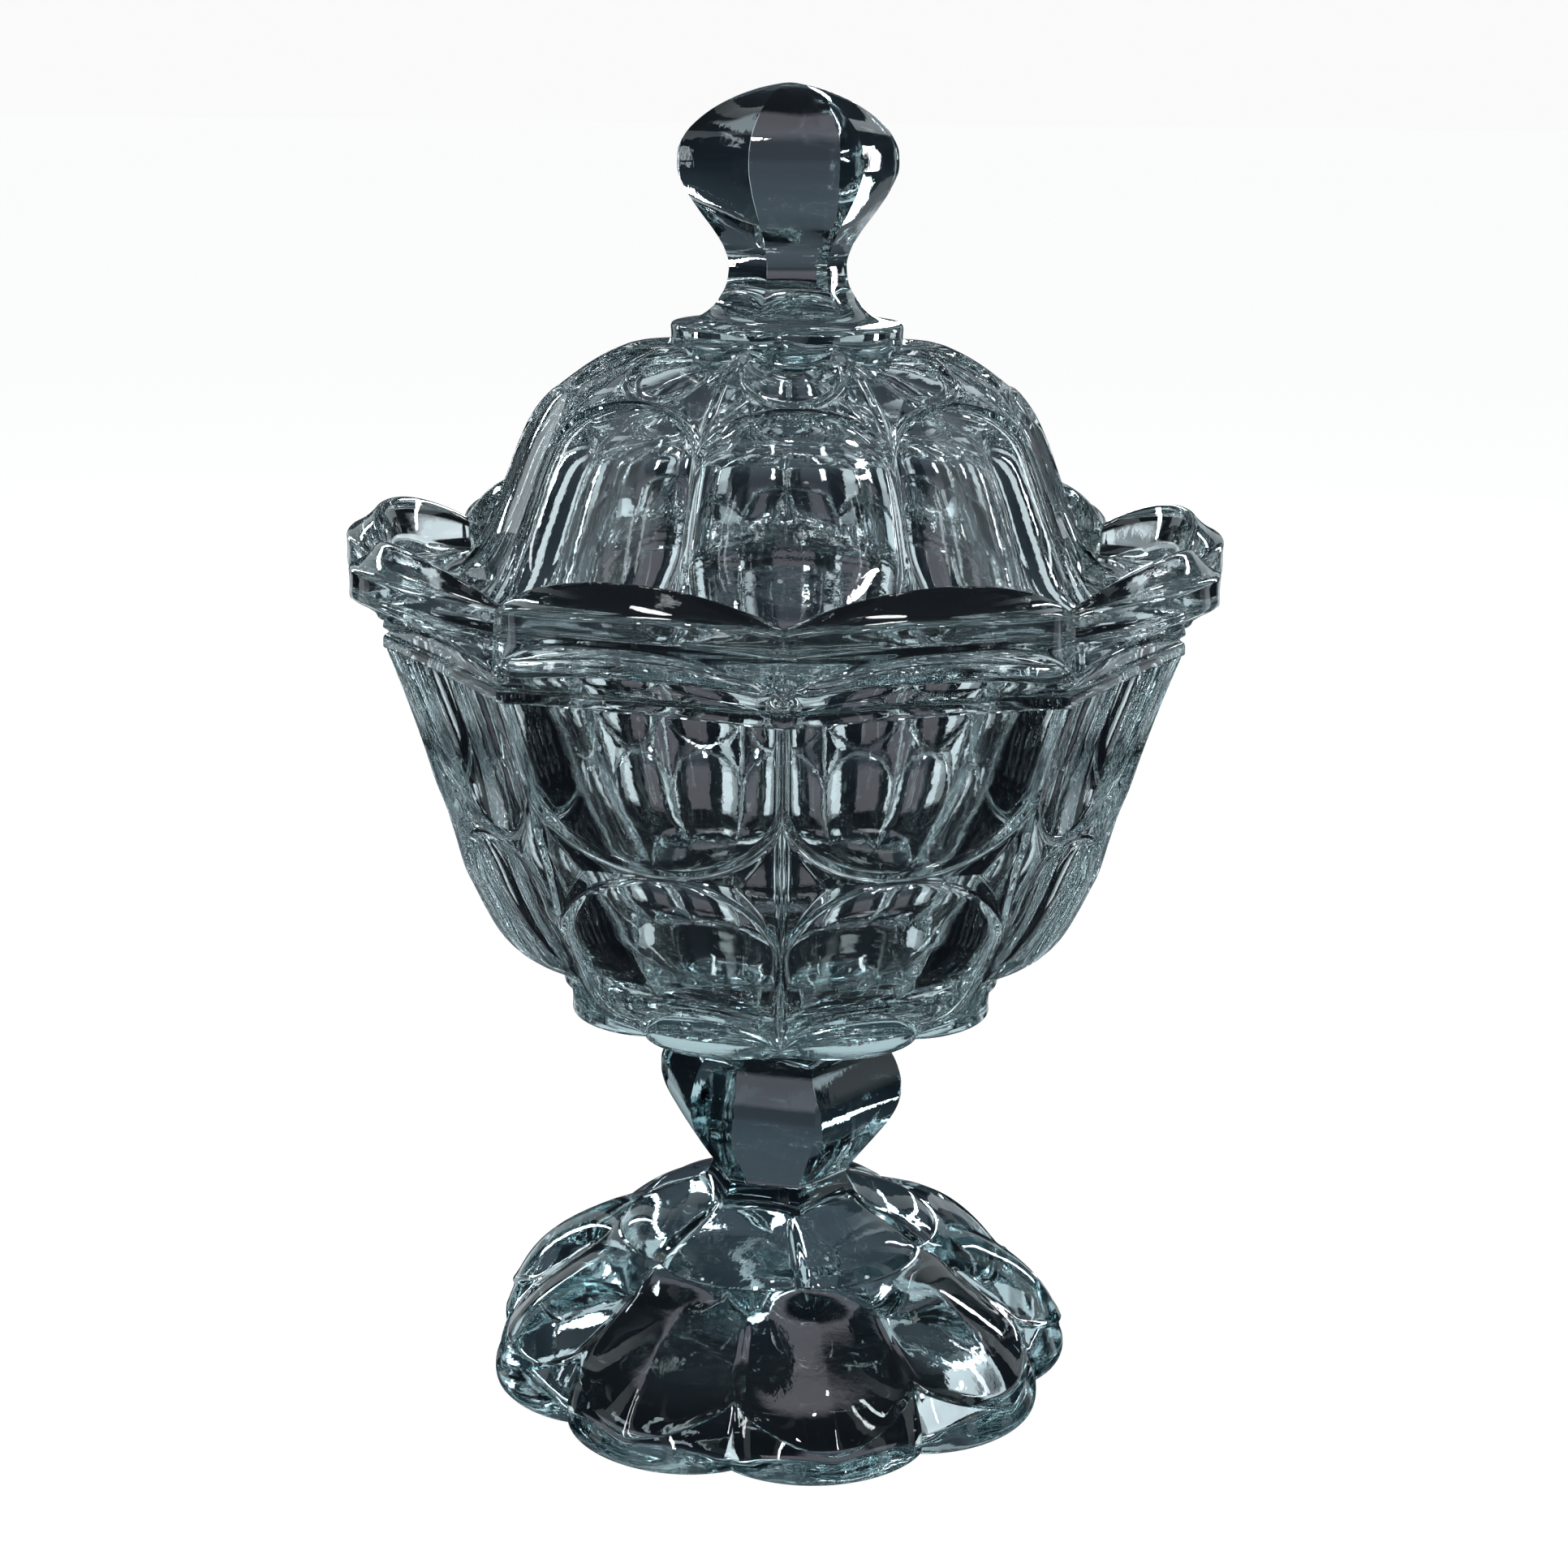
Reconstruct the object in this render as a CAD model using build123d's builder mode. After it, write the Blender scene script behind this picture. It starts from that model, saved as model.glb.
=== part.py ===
from build123d import *
import os
from math import cos, sin, tan, radians

# Covered candy dish in pressed glass, on a short pedestal.
# Millimetres, +Z up, the foot stands on z = 0, the axis of the dish is the Z axis.
# Angles are measured from the front (-Y), positive towards +X.
# Four pressings: the lid with its knob, the bowl, the wafer that joins the bowl
# to its pedestal, and the pedestal with its knop and petalled foot.

# ---- driving dimensions -------------------------------------------------
N_FOLD = 9                 # panels round the bowl, the dome and the foot
STEP = 360.0 / N_FOLD
KNOB_SIDES = 6             # facets of the knob and of the knop

# bowl
BOWL_WALL = [              # ridge radius and height of the nine-sided wall
    (66.2, 131.2),         # ledge
    (61.3, 118.4),
    (58.0, 107.5),
    (52.5, 90.6),
    (48.0, 80.9),
    (42.0, 74.0),
]
RIM_NOTCH_R = 67.2         # rim outline at the notches
RIM_TIP_R = 75.6           # rim outline at the lobes
RIM_TIP_Z = 152.8          # crest of a lobe
RIM_NOTCH_Z = 146.2        # top of a notch
RIM_CREST_R = 69.5         # the crest lies inside the outline, with a sloping face outside it
RIM_SLOPE = 0.76
BAND_Z = 139.0             # underside of the thick rim band
RIM_IN_NOTCH_R = 64.6      # inside of the rim, which follows the lobes
RIM_IN_TIP_R = 68.3
SEAT_Z = 137.0             # flat ring that the lid sits on
SKIRT_SEAM_R = 35.0        # skirt of upright petals below the wall
SKIRT_TIP_R = 38.7
SKIRT_TOP = 74.2
SKIRT_BOT = 69.0
BOWL_BASE_R = 16.6
BOWL_BASE_Z = 62.4
BOWL_INSIDE = [            # smooth inside, radius and height
    (56.5, 137.0), (55.6, 131.0), (54.3, 126.0), (51.6, 117.0), (48.9, 108.0), (46.3, 99.5),
    (44.1, 92.0), (41.3, 86.0), (37.2, 81.2), (31.0, 77.6), (24.0, 75.2), (12.0, 73.3), (0.0, 73.0),
]

# wafer
WAFER_R = 15.0
WAFER_T = 1.4

# pedestal
PED_TOP_Z = BOWL_BASE_Z - WAFER_T
KNOP_TURN = 16.0           # angle of a knop edge from the front
KNOP = [(17.4, PED_TOP_Z), (20.4, 58.2), (22.0, 52.8), (21.4, 48.8), (18.0, 43.2), (12.4, 35.6)]
TIER1_R_SEAM = 27.0
TIER1_R_TIP = 29.0
TIER1_TURN = 9.0
TIER1_EDGE_Z = 27.0        # the cushions are nearly flat above this and drop steeply below
TIER1_TOP_Z = 30.6
WAIST = [(14.8, 30.6), (13.2, 32.6), (12.4, 34.4), (10.8, 35.6)]
FOOT_SEAM_R = 47.3
FOOT_TIP_R = 52.4
FOOT_TURN = -9.0           # angle of a seam between foot petals
FOOT_EDGE_Z = 10.0         # height of the thick rounded edge
FOOT_SHOULDER = 24.0
HOLLOW_R = 41.0            # underside of the foot is hollow
HOLLOW_Z = 15.0

# lid
LID_GAP = 0.15             # clearance under the flange
LID_FLANGE_R = 62.4
LID_FLANGE_T = 3.6
LID_BASE_Z = SEAT_Z + LID_GAP
DOME_TURN = 2.5            # the dome's panels are turned this far from the bowl's
DOME = [                   # rib radius and height of the nine-sided dome
    (59.0, LID_BASE_Z + 2.4), (55.4, 142.6), (51.6, 148.5), (49.8, 152.2), (47.6, 158.2),
    (45.4, 164.4), (42.4, 169.2), (37.6, 174.0), (31.5, 178.4), (24.0, 181.4),
]
DOME_INSIDE = [
    (54.0, LID_BASE_Z), (48.8, 142.0), (44.3, 149.0), (41.3, 157.0), (38.0, 165.0),
    (31.0, 170.8), (20.0, 174.4), (0.0, 175.8),
]
COLLAR_R = 19.4
COLLAR_Z0 = 180.6
COLLAR_Z1 = 184.4
KNOB_TURN = 40.5           # angle of a knob edge from the front
KNOB = [(13.0, 184.0), (9.8, 187.4), (9.6, 192.5), (11.5, 197.5), (16.0, 204.0),
        (18.4, 209.6), (16.6, 214.8), (10.5, 219.6)]
KNOB_TIP = (4.2, 222.6)


def at(radius, angle):
    """A point at an angle from the front."""
    return (radius * sin(radians(angle)), -radius * cos(radians(angle)))


def polygon_points(radius, sides, turn):
    return [at(radius, turn + i * 360.0 / sides) for i in range(sides)]


def lobed_edges(seam_r, tip_r, sides, turn):
    """Arcs from seam to seam through the tip of each petal, for a closed outline."""
    step = 360.0 / sides
    for i in range(sides):
        a = turn + i * step
        ThreePointArc(at(seam_r, a), at(tip_r, a + step / 2), at(seam_r, a + step))


# ---- bowl ---------------------------------------------------------------
with BuildPart() as bowl:
    # nine-sided wall, one ring of flat panels after another
    for (r1, z1), (r2, z2) in zip(BOWL_WALL[:-1], BOWL_WALL[1:]):
        with BuildSketch(Plane.XY.offset(z2)):
            Polygon(*polygon_points(r2, N_FOLD, 0), align=None)
        with BuildSketch(Plane.XY.offset(z1)):
            Polygon(*polygon_points(r1, N_FOLD, 0), align=None)
        loft(ruled=True)
    # skirt of upright petals
    with BuildSketch(Plane.XY.offset(SKIRT_BOT)):
        with BuildLine():
            lobed_edges(SKIRT_SEAM_R - 0.2, SKIRT_TIP_R - 0.3, N_FOLD, 0)
        make_face()
    with BuildSketch(Plane.XY.offset(SKIRT_TOP)):
        with BuildLine():
            lobed_edges(SKIRT_SEAM_R, SKIRT_TIP_R, N_FOLD, 0)
        make_face()
    loft(ruled=True)
    # cone under the skirt down to the joint
    with BuildSketch(Plane.XY.offset(BOWL_BASE_Z)):
        Circle(BOWL_BASE_R)
    with BuildSketch(Plane.XY.offset(SKIRT_BOT)):
        Circle(SKIRT_SEAM_R - 2.6)
    loft(ruled=True)
    # cove from the ledge out to the underside of the rim band
    with BuildSketch(Plane.XY.offset(BOWL_WALL[0][1])):
        with BuildLine():
            lobed_edges(BOWL_WALL[0][0], BOWL_WALL[0][0] * 0.965, N_FOLD, 0)
        make_face()
    with BuildSketch(Plane.XY.offset(BAND_Z)):
        with BuildLine():
            lobed_edges(RIM_NOTCH_R - 0.8, RIM_TIP_R - 2.2, N_FOLD, 0)
        make_face()
    loft(ruled=True)
    # thick lobed rim band
    with BuildSketch(Plane.XY.offset(BAND_Z)):
        with BuildLine():
            lobed_edges(RIM_NOTCH_R, RIM_TIP_R, N_FOLD, 0)
        make_face()
    extrude(amount=RIM_TIP_Z - BAND_Z)
    # the rim opens above the seat and follows the lobes inside
    with BuildSketch(Plane.XY.offset(SEAT_Z + 6.5)):
        with BuildLine():
            lobed_edges(RIM_IN_NOTCH_R, RIM_IN_TIP_R, N_FOLD, 0)
        make_face()
    extrude(amount=20, mode=Mode.SUBTRACT)
    with BuildSketch(Plane.XY.offset(SEAT_Z)):
        Circle(LID_FLANGE_R + 0.6)
    extrude(amount=10, mode=Mode.SUBTRACT)
    # smooth inside of the bowl
    with BuildSketch(Plane.XZ) as inside:
        with BuildLine():
            Polyline(*[(r, z) for r, z in BOWL_INSIDE], (0, SEAT_Z + 1), (BOWL_INSIDE[0][0], SEAT_Z + 1), close=True)
        make_face()
    revolve(axis=Axis.Z, mode=Mode.SUBTRACT)
    # the rim's top edge rises over each lobe and drops to each notch
    for i in range(N_FOLD):
        ang = (i + 0.5) * STEP
        out = Vector(sin(radians(ang)), -cos(radians(ang)), 0)
        side = Vector(cos(radians(ang)), sin(radians(ang)), 0)
        drop = (84.0 - RIM_CREST_R) * RIM_SLOPE
        for stations in (((50.0, 0.0), (RIM_CREST_R, 0.0)), ((RIM_CREST_R, 0.0), (84.0, drop))):
            for r, low in stations:
                w = r * tan(radians(STEP / 2)) + 0.35   # neighbours overlap at the notch
                with BuildSketch(Plane(origin=out * r, x_dir=side, z_dir=out)):
                    with BuildLine():
                        ThreePointArc((-w, RIM_NOTCH_Z - low), (0, RIM_TIP_Z - 0.05 - low), (w, RIM_NOTCH_Z - low))
                        Polyline((w, RIM_NOTCH_Z - low), (w, 162), (-w, 162), (-w, RIM_NOTCH_Z - low))
                    make_face()
            loft(ruled=True, mode=Mode.SUBTRACT)
bowl.part.label = "bowl"

# ---- wafer that joins the bowl to the pedestal --------------------------
with BuildPart() as joining_wafer:
    with BuildSketch(Plane.XY.offset(PED_TOP_Z)):
        Circle(WAFER_R)
    extrude(amount=WAFER_T)
joining_wafer.part.label = "joining_wafer"

# ---- pedestal: six-sided knop, waist and petalled foot ------------------
with BuildPart() as pedestal_foot:
    for (r1, z1), (r2, z2) in zip(KNOP[:-1], KNOP[1:]):
        with BuildSketch(Plane.XY.offset(z2)):
            Polygon(*polygon_points(r2, KNOB_SIDES, KNOP_TURN), align=None)
        with BuildSketch(Plane.XY.offset(z1)):
            Polygon(*polygon_points(r1, KNOB_SIDES, KNOP_TURN), align=None)
        loft(ruled=True)
    # first tier of six low cushions: a steep edge, then a gentle slope up to the waist
    with BuildSketch(Plane.XY.offset(FOOT_SHOULDER)):
        with BuildLine():
            lobed_edges(TIER1_R_SEAM, TIER1_R_TIP, KNOB_SIDES, TIER1_TURN)
        make_face()
    with BuildSketch(Plane.XY.offset(TIER1_EDGE_Z)):
        with BuildLine():
            lobed_edges(TIER1_R_SEAM - 3.2, TIER1_R_TIP - 3.6, KNOB_SIDES, TIER1_TURN)
        make_face()
    loft(ruled=True)
    with BuildSketch(Plane.XY.offset(TIER1_EDGE_Z)):
        with BuildLine():
            lobed_edges(TIER1_R_SEAM - 3.2, TIER1_R_TIP - 3.6, KNOB_SIDES, TIER1_TURN)
        make_face()
    with BuildSketch(Plane.XY.offset(TIER1_TOP_Z)):
        with BuildLine():
            lobed_edges(14.9, 15.5, KNOB_SIDES, TIER1_TURN)
        make_face()
    loft(ruled=True)
    for (r1, z1), (r2, z2) in zip(WAIST[:-1], WAIST[1:]):
        with BuildSketch(Plane.XY.offset(z1)):
            Circle(r1)
        with BuildSketch(Plane.XY.offset(z2)):
            Circle(r2)
        loft(ruled=True)
    # outer petals: sloping tops, then a thick upright edge
    with BuildSketch(Plane.XY.offset(FOOT_EDGE_Z)):
        with BuildLine():
            lobed_edges(FOOT_SEAM_R, FOOT_TIP_R, N_FOLD, FOOT_TURN)
        make_face()
    with BuildSketch(Plane.XY.offset(20.0)):
        with BuildLine():
            lobed_edges(FOOT_SEAM_R - 6.0, FOOT_TIP_R - 7.0, N_FOLD, FOOT_TURN)
        make_face()
    loft(ruled=True)
    with BuildSketch(Plane.XY.offset(20.0)):
        with BuildLine():
            lobed_edges(FOOT_SEAM_R - 6.0, FOOT_TIP_R - 7.0, N_FOLD, FOOT_TURN)
        make_face()
    with BuildSketch(Plane.XY.offset(FOOT_SHOULDER + 1.0)):
        with BuildLine():
            lobed_edges(30.0, 31.5, N_FOLD, FOOT_TURN)
        make_face()
    loft(ruled=True)
    with BuildSketch(Plane.XY):
        with BuildLine():
            lobed_edges(FOOT_SEAM_R - 1.2, FOOT_TIP_R - 1.4, N_FOLD, FOOT_TURN)
        make_face()
    with BuildSketch(Plane.XY.offset(FOOT_EDGE_Z)):
        with BuildLine():
            lobed_edges(FOOT_SEAM_R, FOOT_TIP_R, N_FOLD, FOOT_TURN)
        make_face()
    loft(ruled=True)
    # hollow underside
    with BuildSketch(Plane.XZ):
        with BuildLine():
            Polyline((0, -1), (HOLLOW_R, -1), (HOLLOW_R, 0), (HOLLOW_R - 4, 6), (24, 12.5), (0, HOLLOW_Z), close=True)
        make_face()
    revolve(axis=Axis.Z, mode=Mode.SUBTRACT)
pedestal_foot.part.label = "pedestal_foot"

# ---- lid ----------------------------------------------------------------
with BuildPart() as lid:
    with BuildSketch(Plane.XY.offset(LID_BASE_Z)):
        Circle(LID_FLANGE_R)
    extrude(amount=LID_FLANGE_T)
    for (r1, z1), (r2, z2) in zip(DOME[:-1], DOME[1:]):
        with BuildSketch(Plane.XY.offset(z1)):
            Polygon(*polygon_points(r1, N_FOLD, DOME_TURN + STEP / 2), align=None)
        with BuildSketch(Plane.XY.offset(z2)):
            Polygon(*polygon_points(r2, N_FOLD, DOME_TURN + STEP / 2), align=None)
        loft(ruled=True)
    # collar
    with BuildSketch(Plane.XY.offset(COLLAR_Z0)):
        Circle(COLLAR_R)
    extrude(amount=COLLAR_Z1 - COLLAR_Z0)
    # six-sided knob
    for (r1, z1), (r2, z2) in zip(KNOB[:-1], KNOB[1:]):
        with BuildSketch(Plane.XY.offset(z1)):
            Polygon(*polygon_points(r1, KNOB_SIDES, KNOB_TURN), align=None)
        with BuildSketch(Plane.XY.offset(z2)):
            Polygon(*polygon_points(r2, KNOB_SIDES, KNOB_TURN), align=None)
        loft(ruled=True)
    with BuildSketch(Plane.XY.offset(KNOB[-1][1])):
        Polygon(*polygon_points(KNOB[-1][0], KNOB_SIDES, KNOB_TURN), align=None)
    with BuildSketch(Plane.XY.offset(KNOB_TIP[1])):
        Polygon(*polygon_points(KNOB_TIP[0], KNOB_SIDES, KNOB_TURN), align=None)
    loft(ruled=True)
    # hollow dome
    with BuildSketch(Plane.XZ):
        with BuildLine():
            Polyline((0, LID_BASE_Z - 1), (DOME_INSIDE[0][0], LID_BASE_Z - 1), *DOME_INSIDE, close=True)
        make_face()
    revolve(axis=Axis.Z, mode=Mode.SUBTRACT)
lid.part.label = "lid"

os.makedirs("parts", exist_ok=True)
for piece in (lid, bowl, joining_wafer, pedestal_foot):
    export_step(piece.part, "parts/%s.step" % piece.part.label)
    box = piece.part.bounding_box()
    print(piece.part.label, len(piece.part.solids()), round(piece.part.volume / 1000, 1), "cm3", box.min, box.max)
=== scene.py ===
import bpy
import numpy as np
from math import radians, sin, cos, atan, degrees
from mathutils import Matrix, Vector


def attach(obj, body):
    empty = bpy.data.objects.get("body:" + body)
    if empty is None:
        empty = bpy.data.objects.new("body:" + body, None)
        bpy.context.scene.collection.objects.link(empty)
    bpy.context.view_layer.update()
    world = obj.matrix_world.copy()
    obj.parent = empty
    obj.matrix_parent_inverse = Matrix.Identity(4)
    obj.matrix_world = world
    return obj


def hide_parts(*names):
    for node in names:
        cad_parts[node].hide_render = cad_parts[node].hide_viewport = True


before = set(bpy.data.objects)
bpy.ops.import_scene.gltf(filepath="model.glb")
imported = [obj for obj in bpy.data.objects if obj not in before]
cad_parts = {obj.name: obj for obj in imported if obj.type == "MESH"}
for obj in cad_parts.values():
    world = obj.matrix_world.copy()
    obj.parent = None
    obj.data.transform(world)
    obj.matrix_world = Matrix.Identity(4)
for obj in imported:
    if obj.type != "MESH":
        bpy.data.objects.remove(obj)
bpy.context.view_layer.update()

MM = 0.001
NT = 720                                   # columns round the axis, half a degree each
EVEN = np.arange(NT) * (360.0 / NT)        # degrees from the front (-Y), towards +X
TH = EVEN


# ------------------------------------------------------------------ helpers
def columns(turn, n=9):
    """Column angles, closer together near the seams between the panels."""
    step = 360.0 / n
    w = np.mod(EVEN, step) / step * 2 - 1
    u = 0.42 * w + 0.58 * np.sin(w * np.pi / 2)
    return np.floor(EVEN / step + 1e-9) * step + (u + 1) / 2 * step + turn


def bead(d, height=0.62, width=0.46):
    """Fine raised line at distance d, mm."""
    return height * np.exp(-(d / width) ** 2)


def lean(curve, r):
    """Cosine of a boundary curve's slope, to turn a height into a true distance."""
    ds = np.radians(np.gradient(np.concatenate([TH[-1:] - 360, TH, TH[:1] + 360])))[1:-1] * r
    dz = np.gradient(np.concatenate([curve[-1:], curve, curve[:1]]))[1:-1]
    return 1 / np.sqrt(1 + (dz / ds) ** 2)


def spread(n, power=2.2):
    """0 to 1 in n steps, closer together near 0."""
    return (np.arange(1, n + 1) / n) ** power


def panel_u(turn, n=9):
    """-1 at one seam, 0 at the middle of a panel, 1 at the next seam."""
    step = 360.0 / n
    a = np.mod(TH - turn, step)
    return (a - step / 2) / (step / 2)


def smooth(x, a, b):
    t = np.clip((x - a) / (b - a), 0.0, 1.0)
    return t * t * (3 - 2 * t)


def pchip(xs, ys, x):
    """Monotone cubic through the points, with no overshoot."""
    xs = np.asarray(xs, float)
    ys = np.asarray(ys, float)
    h = np.diff(xs)
    d = np.diff(ys) / h
    m = np.zeros_like(ys)
    for i in range(1, len(xs) - 1):
        if d[i - 1] * d[i] > 0:
            w1 = 2 * h[i] + h[i - 1]
            w2 = h[i] + 2 * h[i - 1]
            m[i] = (w1 + w2) / (w1 / d[i - 1] + w2 / d[i])
    m[0], m[-1] = d[0], d[-1]
    x = np.clip(np.asarray(x, float), xs[0], xs[-1])
    k = np.clip(np.searchsorted(xs, x) - 1, 0, len(h) - 1)
    t = (x - xs[k]) / h[k]
    return ((2 * t ** 3 - 3 * t ** 2 + 1) * ys[k] + (t ** 3 - 2 * t ** 2 + t) * h[k] * m[k]
            + (-2 * t ** 3 + 3 * t ** 2) * ys[k + 1] + (t ** 3 - t ** 2) * h[k] * m[k + 1])


def curve_rz(points, n):
    """Smooth profile through (r, z) points, by arc length."""
    p = np.array(points, float)
    s = np.concatenate([[0], np.cumsum(np.hypot(*np.diff(p, axis=0).T))])
    q = np.linspace(0, s[-1], n)
    return pchip(s, p[:, 0], q), pchip(s, p[:, 1], q)


class Skin:
    """Rows of (r, z) round the axis, from one pole to the other."""

    def __init__(self):
        self.rows = []

    def row(self, r, z):
        r = np.broadcast_to(np.asarray(r, float), (NT,)).copy()
        z = np.broadcast_to(np.asarray(z, float), (NT,)).copy()
        self.rows.append((r, z))

    def lathe(self, rs, zs):
        for r, z in zip(rs, zs):
            self.row(r, z)

    def to(self, r, z, n, bow=0.0):
        """Straight or slightly bowed rows from the last row to (r, z)."""
        r0, z0 = self.rows[-1]
        r = np.broadcast_to(np.asarray(r, float), (NT,))
        z = np.broadcast_to(np.asarray(z, float), (NT,))
        dr, dz = r - r0, z - z0
        ln = np.maximum(np.hypot(dr, dz), 1e-9)
        for i in range(1, n + 1):
            t = i / n
            b = bow * 4 * t * (1 - t)
            self.row(r0 + dr * t + b * dz / ln, z0 + dz * t - b * dr / ln)

    def round_to(self, corner, end, n):
        """Rounded corner: a quadratic curve from the last row, pulled to the corner."""
        r0, z0 = self.rows[-1]
        cr, cz = [np.broadcast_to(np.asarray(v, float), (NT,)) for v in corner]
        er, ez = [np.broadcast_to(np.asarray(v, float), (NT,)) for v in end]
        for i in range(1, n + 1):
            t = i / n
            a, b, c = (1 - t) ** 2, 2 * t * (1 - t), t * t
            self.row(a * r0 + b * cr + c * er, a * z0 + b * cz + c * ez)

    def mesh(self, name, sharp=24.0):
        verts, rings = [], []
        sn, cs = np.sin(np.radians(TH)), -np.cos(np.radians(TH))
        for r, z in self.rows:
            if np.max(r) < 1e-6:
                rings.append([len(verts)])
                verts.append((0.0, 0.0, float(z[0]) * MM))
            else:
                base = len(verts)
                rings.append(range(base, base + NT))
                verts.extend(zip(r * sn * MM, r * cs * MM, z * MM))
        faces = []
        for a, b in zip(rings[:-1], rings[1:]):
            if len(a) == 1 and len(b) == 1:
                continue
            if len(a) == 1:
                faces += [(a[0], b[i], b[(i + 1) % NT]) for i in range(NT)]
            elif len(b) == 1:
                faces += [(a[i], b[0], a[(i + 1) % NT]) for i in range(NT)]
            else:
                a0, b0 = a[0], b[0]
                faces += [(a0 + i, b0 + i, b0 + (i + 1) % NT, a0 + (i + 1) % NT) for i in range(NT)]
        me = bpy.data.meshes.new(name)
        me.from_pydata(verts, [], faces)
        me.validate()
        me.update()
        if signed_volume(me) < 0:
            me.flip_normals()
        me.polygons.foreach_set("use_smooth", np.ones(len(me.polygons), bool))
        me.set_sharp_from_angle(angle=radians(sharp))
        me.update()
        ob = bpy.data.objects.new(name, me)
        bpy.context.scene.collection.objects.link(ob)
        return ob


def signed_volume(me):
    n = len(me.vertices)
    co = np.empty(n * 3)
    me.vertices.foreach_get("co", co)
    co = co.reshape(-1, 3)
    me.calc_loop_triangles()
    t = np.empty(len(me.loop_triangles) * 3, int)
    me.loop_triangles.foreach_get("vertices", t)
    t = t.reshape(-1, 3)
    return float(np.einsum("ij,ij->i", co[t[:, 0]], np.cross(co[t[:, 1]], co[t[:, 2]])).sum() / 6)


# ------------------------------------------------------------------ bowl
TH = columns(0.0)
U = panel_u(0.0)
A = np.abs(U)
ARC = 1 - U ** 2
LOCAL = U * 20.0
POLY = np.cos(np.radians(20)) / np.cos(np.radians(LOCAL))     # nine flats, 1 at the ridges

RIDGE_Z = [72.0, 74.3, 77.2, 81.0, 85.5, 89.6, 93.0, 98.6, 103.6, 108.0, 113.8, 117.7, 124.0, 131.2]
RIDGE_R = [35.6, 40.6, 44.8, 48.2, 50.7, 52.6, 54.1, 55.6, 57.0, 58.6, 60.3, 61.5, 63.6, 66.2]


def ridge(z):
    return pchip(RIDGE_Z, RIDGE_R, z)


LEDGE_Z = 131.2 + 0.3 * ARC
UP_TIP, UP_WEB = 118.6, 104.4
LO_TIP, LO_WEB = 90.4, 103.3
ROOT = np.sqrt(np.maximum(ARC, 0))
Z_UP = UP_TIP - (UP_TIP - UP_WEB) * ROOT        # bottom outline of each upper panel
Z_LO = LO_TIP + (LO_WEB - LO_TIP) * ROOT        # top outline of each lower panel
Z_CROSS = (Z_UP + Z_LO) / 2                     # the star's side ridge
HALF = (Z_UP - Z_LO) / 2
Z_PET_LO = 69.0 + 0.0 * U                       # lower edge of the petals under the wall
Z_WALL_END = 70.1 + 5.7 * (1 - A ** 2.0) ** 0.62
S_MM = (1 - A) * 20.3                           # distance from the nearest ridge
UP_LEAN, LO_LEAN = lean(Z_UP, 57.0), lean(Z_LO, 55.0)


def hollow(rho2, depth):
    """Concave panel with a quick edge."""
    w = np.maximum(0, 1 - rho2)
    return depth * (0.35 * w + 0.65 * w ** 0.45)


def r_upper(z):
    rho2 = U ** 2 + np.maximum(0, (UP_TIP - z) / (UP_TIP - UP_WEB)) ** 2
    line = np.minimum((z - Z_UP) * UP_LEAN, S_MM)
    return ridge(z) * POLY - hollow(rho2, 2.9) + bead(line)


def r_star(z):
    off = np.minimum(0.19 * S_MM, 0.34 * np.maximum(HALF - np.abs(z - Z_CROSS), 0))
    line = np.minimum(np.minimum(np.abs(Z_UP - z) * UP_LEAN, np.abs(z - Z_LO) * LO_LEAN), S_MM)
    return ridge(z) * POLY + off + bead(line)


def r_lower(z):
    rho2 = U ** 2 + np.maximum(0, (z - LO_TIP) / (LO_WEB - LO_TIP)) ** 2
    line = np.minimum(np.maximum(Z_LO - z, 0) * LO_LEAN, S_MM)
    return ridge(z) * POLY - hollow(rho2, 2.8) * (0.55 + 0.45 * smooth(z, 72.0, 82.0)) + bead(line)


RIM_OUT = 67.2 + 8.4 * ARC ** 0.92
Z_FACE = 145.7 + 2.7 * (1 - A ** 2.2)           # top of the rim's upright face
Z_TOP = 146.3 + 6.5 * (1 - A ** 2.1)            # crest, set in from the face
R_TOP = RIM_OUT - 1.0 - 4.8 * ARC ** 0.9
Z_BAND = 136.2 + 7.2 * (1 - A ** 2.4)

bowl = Skin()
# under the bowl, from the centre out
bowl.row(0, 62.4)
bowl.lathe(*[np.linspace(a, b, 6) for a, b in ((4.0, 16.6), (62.4, 62.4))])
bowl.lathe(*curve_rz([(17.2, 62.45), (20.0, 63.3), (25.0, 65.3), (30.0, 67.3), (32.4, 68.2)], 12))
R_PET = 35.1 + 3.7 * ARC ** 0.85
bowl.to(R_PET - 0.9, Z_PET_LO, 8)
bowl.round_to((R_PET - 0.25, Z_PET_LO + 0.02), (R_PET - 0.15, Z_PET_LO + 0.5), 4)
bowl.to(R_PET + 0.25, Z_WALL_END - 0.45, 9, bow=-0.25)
bowl.round_to((R_PET + 0.25, Z_WALL_END), (R_PET - 0.35, Z_WALL_END + 0.05), 4)
# lower panels
inset = 0.5 + 0.9 * ARC
wall_r = np.minimum(r_lower(Z_WALL_END + 0.3), R_PET - inset)
bowl.to(wall_r, Z_WALL_END + 0.2, 2)
n = 84
for t in 1 - spread(n)[::-1][1:]:
    z = Z_WALL_END + 0.2 + (Z_LO - Z_WALL_END - 0.2) * t
    bowl.row(np.minimum(r_lower(z), wall_r + (z - Z_WALL_END) * 2.0), z)
bowl.row(r_lower(Z_LO), Z_LO)
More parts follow.
